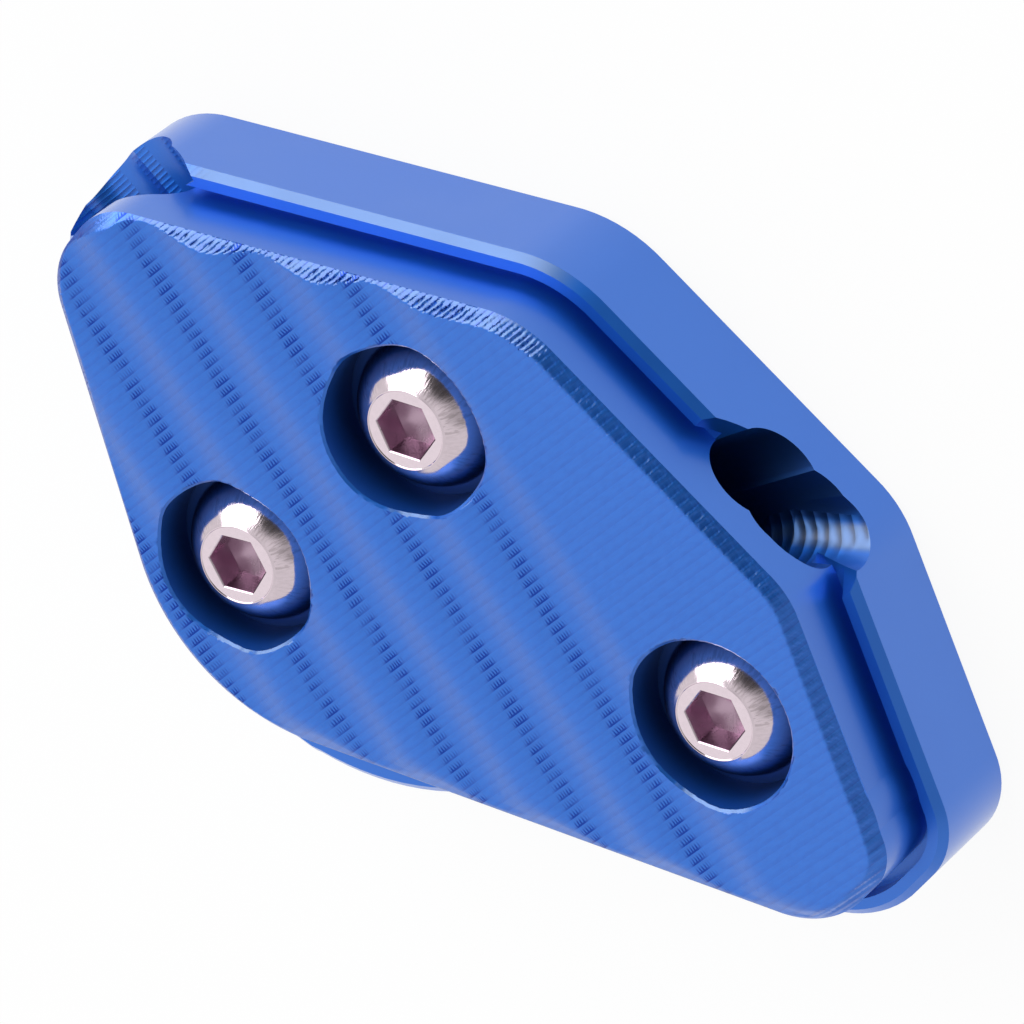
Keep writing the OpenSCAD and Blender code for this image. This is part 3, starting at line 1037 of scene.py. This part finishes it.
    def build(self) -> bpy.types.Object:
        """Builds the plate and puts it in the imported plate's place.

        Returns:
            The plate's object.
        """
        verts, faces, milled = self.face_mesh()
        more, rest = self.rest_of_plate()
        first_packed = len(faces)
        faces += [tuple(v + len(verts) for v in f) for f in rest]
        made = mesh_object("plate_milled", np.vstack([verts, more]) * MM, faces, self.sharp)
        finishes = {
            Cut.RASTER: "blue_raster",
            Cut.WALL: "blue_wall_plate",
            Cut.GROOVE: "blue_groove_plate",
            Cut.BORE: "blue_bore",
        }
        for cut, name in finishes.items():
            made.data.materials.append(AnodisedFinish(name, cut).material())
        slots = list(finishes)
        for index, face in enumerate(made.data.polygons):
            if index >= milled:
                face.material_index = slots.index(self._cut_of(face, index >= first_packed))
        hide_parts("clamp_plate")
        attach(made, "root")
        return made

    def _cut_of(self, face: bpy.types.MeshPolygon, packed: bool) -> Cut:
        """Tells how a face outside the milled ones was machined.

        Args:
            face: The face.
            packed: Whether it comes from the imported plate.

        Returns:
            Its cut.
        """
        if self.sizes.from_screw(face.center) < (8.2 if packed else 8.4):
            return Cut.BORE
        outer = abs(face.normal.z) < 0.02 and self._on_wall(face.center)
        low = face.center.z < (PARTING_Z + 4.2) * MM
        if packed and low and not outer and face.normal.z > -0.98:
            return Cut.GROOVE
        return Cut.WALL

    def _on_wall(self, point: Vector) -> bool:
        """Whether a point lies on the plate's outer wall."""
        depth = self.sizes.outline().inside(np.array([point.x / MM]), np.array([point.y / MM]))
        return bool(abs(depth[0]) < 0.1)


@dataclass
class BaseBody:
    """The rear half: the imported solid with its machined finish."""

    finish: AnodisedFinish = AnodisedFinish("blue_wall_base", Cut.BODY)

    def build(self) -> bpy.types.Object:
        """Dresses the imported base.

        Returns:
            The base's object.
        """
        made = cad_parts["base_body"]
        made.data.materials.clear()
        made.data.materials.append(self.finish.material())
        return made


@dataclass
class ButtonScrew:
    """A button-head socket screw, turned round its own axis."""

    name: str
    node: str
    place: np.ndarray
    turn: float
    head_r: float = 7.0
    head_h: float = 4.4
    edge: float = 0.6
    dome_r: float = 7.5
    dome_steps: int = 18
    ridge: float = 0.07
    socket: float = 5.0
    depth: float = 3.0
    lead: float = 0.12
    drill_r: float = 2.42
    shank_r: float = 4.0
    shank_sides: int = 48
    length: float = 12.0
    thread_pitch: float = 1.25
    thread_depth: float = 0.66
    thread_rows: int = 8
    sides: int = 96
    sharp: float = 28.0

    def profile(self) -> list[tuple[float, float]]:
        """Works out the head's rings, from its seat up to its flat top.

        Returns:
            Radius and height of each ring.
        """
        low = self.edge - math.sqrt(self.dome_r**2 - self.head_r**2)
        rings = [(self.shank_r, 0.0), (6.75, 0.0), (6.93, 0.06)]
        rings += [(self.head_r, 0.2), (self.head_r, self.edge - 0.12)]
        start = math.atan2(self.edge - low, self.head_r)
        end = math.asin((self.head_h - 0.03 - low) / self.dome_r)
        for k in range(self.dome_steps + 1):
            a = start + (end - start) * k / self.dome_steps
            tuck = 0.0 if k else 0.015
            rings.append((self.dome_r * math.cos(a) - tuck, low + self.dome_r * math.sin(a)))
        out, flat = rings[-1][0], self.head_h - self.ridge
        rings += [(out - 0.04, self.head_h), (out - 0.1, self.head_h), (out - 0.17, flat)]
        return rings + [(3.2, flat)]

    def angles(self) -> list[float]:
        """Angle of each side, in radians."""
        return [FULL_TURN * k / self.sides + math.radians(self.turn) for k in range(self.sides)]

    def hexagon(self, angle: float) -> float:
        """Distance from the axis to the socket's wall at an angle."""
        a = (angle - math.radians(self.turn)) % (math.pi / 3) - math.pi / 6
        return self.socket / 2 / math.cos(a)

    def ring(self, reach: list[float], z: float) -> list[Triple]:
        """Points round the axis at one height, each at its own distance."""
        return [(r * math.cos(a), r * math.sin(a), z) for r, a in zip(reach, self.angles())]

    def build(self, steel: bpy.types.Material) -> bpy.types.Object:
        """Builds the screw in its place.

        Args:
            steel: Its material.

        Returns:
            The screw's object.
        """
        n = self.sides
        hexes = [self.hexagon(a) for a in self.angles()]
        flat, floor = self.head_h - self.ridge, self.head_h - self.depth
        rings = [self.ring([r] * n, z) for r, z in self.profile()]
        rings.append(self.ring([h + self.lead for h in hexes], flat))
        rings.append(self.ring(hexes, flat - self.lead))
        rings.append(self.ring(hexes, floor))
        rings.append(self.ring([self.drill_r] * n, floor - 0.02))
        rings.append(self.ring([0.3] * n, floor - 0.55))
        verts = [p for ring in rings for p in ring]
        faces: list[Face] = []
        for k in range(len(rings) - 1):
            for i in range(n):
                j = (i + 1) % n
                faces.append((k * n + i, k * n + j, (k + 1) * n + j, (k + 1) * n + i))
        verts.append((0.0, 0.0, floor - 0.6))
        tip, last = len(verts) - 1, (len(rings) - 1) * n
        faces += [(last + i, last + (i + 1) % n, tip) for i in range(n)]
        self._shank(verts, faces)
        made = mesh_object(self.name, np.array(verts) * MM, faces, self.sharp)
        made.location = (self.place[0] * MM, self.place[1] * MM, SEAT_Z * MM)
        made.data.materials.append(steel)
        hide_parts(self.node)
        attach(made, "root")
        return made

    def _shank(self, verts: list[Triple], faces: list[Face]) -> None:
        """Adds the threaded shank under the head.

        Args:
            verts: Vertices, to which it adds its own.
            faces: Faces, to which it adds its own.
        """
        n = self.shank_sides
        rows = int(self.length / self.thread_pitch * self.thread_rows)
        start = len(verts)
        for k in range(rows + 1):
            z = -self.length * k / rows
            for i in range(n):
                a = FULL_TURN * i / n
                phase = (-z / self.thread_pitch + i / n) % 1.0
                cut = max(0.0, min(1.0, abs(phase - 0.5) * 2.4 - 0.1))
                r = self.shank_r - 0.03 - self.thread_depth * cut
                r = min(r, self.shank_r - max(0.0, -z - self.length + 0.9)) if k else self.shank_r
                verts.append((r * math.cos(a), r * math.sin(a), z))
        for k in range(rows):
            up, down = start + k * n, start + (k + 1) * n
            for i in range(n):
                j = (i + 1) % n
                faces.append((up + j, up + i, down + i, down + j))
        faces.append(tuple(start + rows * n + i for i in reversed(range(n))))


@dataclass
class Studio:
    """The floor, the lamp, the world and the camera, in metres."""

    aim: Triple = (0.0, 0.0120474, 0.016416)
    right: Triple = (0.69407, 0.51454, -0.5035)
    up: Triple = (-0.71645, 0.56215, -0.41314)
    forward: Triple = (-0.07047, -0.64748, -0.75882)
    distance: float = 0.684
    lens: float = 281.25
    floor_half: float = 3.0
    floor_z: float = -0.0002
    floor_tone: float = 0.9
    background: float = 0.93
    lamp_toward: Triple = (-0.83, 0.20, 0.50)
    lamp_far: float = 1.3
    lamp_size: float = 1.25
    lamp_power: float = 13.0

    def camera(self) -> None:
        """Makes the camera at the photograph's angle."""
        data = bpy.data.cameras.new("camera")
        data.lens, data.sensor_width = self.lens, 36.0
        data.clip_start, data.clip_end = 0.01, 20.0
        made = bpy.data.objects.new("camera", data)
        bpy.context.scene.collection.objects.link(made)
        x, y, z = Vector(self.right), Vector(self.up), -Vector(self.forward)
        turn = Matrix((x, y, z)).transposed().to_4x4()
        place = Vector(self.aim) - Vector(self.forward) * self.distance
        made.matrix_world = Matrix.Translation(place) @ turn
        bpy.context.scene.camera = made

    def floor(self) -> None:
        """Makes the plain white floor, which keeps the shadow."""
        h, z = self.floor_half, self.floor_z
        verts = np.array([(-h, -h, z), (h, -h, z), (h, h, z), (-h, h, z)])
        made = mesh_object("floor", verts, [(0, 1, 2, 3)])
        material = bpy.data.materials.new("floor_white")
        material.use_nodes = True
        wires = Wiring(material.node_tree)
        wires.tree.nodes.clear()
        out = wires.node("ShaderNodeOutputMaterial")
        matt = wires.node("ShaderNodeBsdfDiffuse")
        matt.inputs[0].default_value = (*[self.floor_tone] * 3, 1.0)
        glow = wires.node("ShaderNodeEmission")
        glow.inputs[0].default_value = (1.0, 1.0, 1.0, 1.0)
        mix = wires.node("ShaderNodeMixShader")
        path = wires.node("ShaderNodeLightPath")
        seen = wires.most(path.outputs["Is Camera Ray"], path.outputs["Is Glossy Ray"])
        wires.link(wires.times(seen, self.background), mix.inputs[0])
        wires.link(matt.outputs[0], mix.inputs[1])
        wires.link(glow.outputs[0], mix.inputs[2])
        wires.link(mix.outputs[0], out.inputs[0])
        made.data.materials.append(material)

    def lamp(self) -> None:
        """Adds the square soft lamp at the left."""
        data = bpy.data.lights.new("soft_left", "AREA")
        data.shape, data.size, data.energy = "SQUARE", self.lamp_size, self.lamp_power
        made = bpy.data.objects.new("soft_left", data)
        bpy.context.scene.collection.objects.link(made)
        way = Vector(self.lamp_toward).normalized()
        made.location = Vector(self.aim) + way * self.lamp_far
        made.rotation_euler = way.to_track_quat("Z", "Y").to_euler()

    def world(self) -> None:
        """Makes a whitish room with a dark part, a dimmer side and a brighter far end."""
        world = bpy.data.worlds.new("room")
        bpy.context.scene.world = world
        world.use_nodes = True
        wires = Wiring(world.node_tree)
        wires.tree.nodes.clear()
        out = wires.node("ShaderNodeOutputWorld")
        glow = wires.node("ShaderNodeBackground")
        way = wires.node("ShaderNodeTexCoord").outputs["Generated"]
        back = wires.ramp(wires.dot(way, (-0.18, 0.87, 0.46)), 0.78, 0.95, 1.0, 0.08)
        side = wires.ramp(wires.dot(way, (0.55, 0.65, 0.52)), 0.85, 1.0, 1.0, 0.55)
        far = wires.ramp(wires.dot(way, (-0.07, -0.65, 0.76)), 0.55, 0.97, 0.95, 1.22)
        wires.link(wires.times(back, side, far), glow.inputs[1])
        wires.link(glow.outputs[0], out.inputs[0])

    def build(self) -> None:
        """Sets up the whole studio."""
        bpy.context.scene.view_settings.view_transform = "Standard"
        self.camera()
        self.floor()
        self.world()
        self.lamp()


def main() -> None:
    """Builds every piece and the studio, and reports them."""
    logging.basicConfig(level=logging.INFO, format="%(message)s")
    plate = ClampPlate()
    steel = SteelFinish().material()
    pieces = [BaseBody().build(), plate.build()]
    names = (("screw_upper", 33.9), ("screw_lower", 38.0), ("screw_right", 34.7))
    for (node, turn), place in zip(names, plate.sizes.screw_places()):
        pieces.append(ButtonScrew(node + "_turned", node, place, turn).build(steel))
    for made in pieces:
        log.info("%s: %d faces", made.name, len(made.data.polygons))
    Studio().build()


if __name__ == "__main__":
    main()
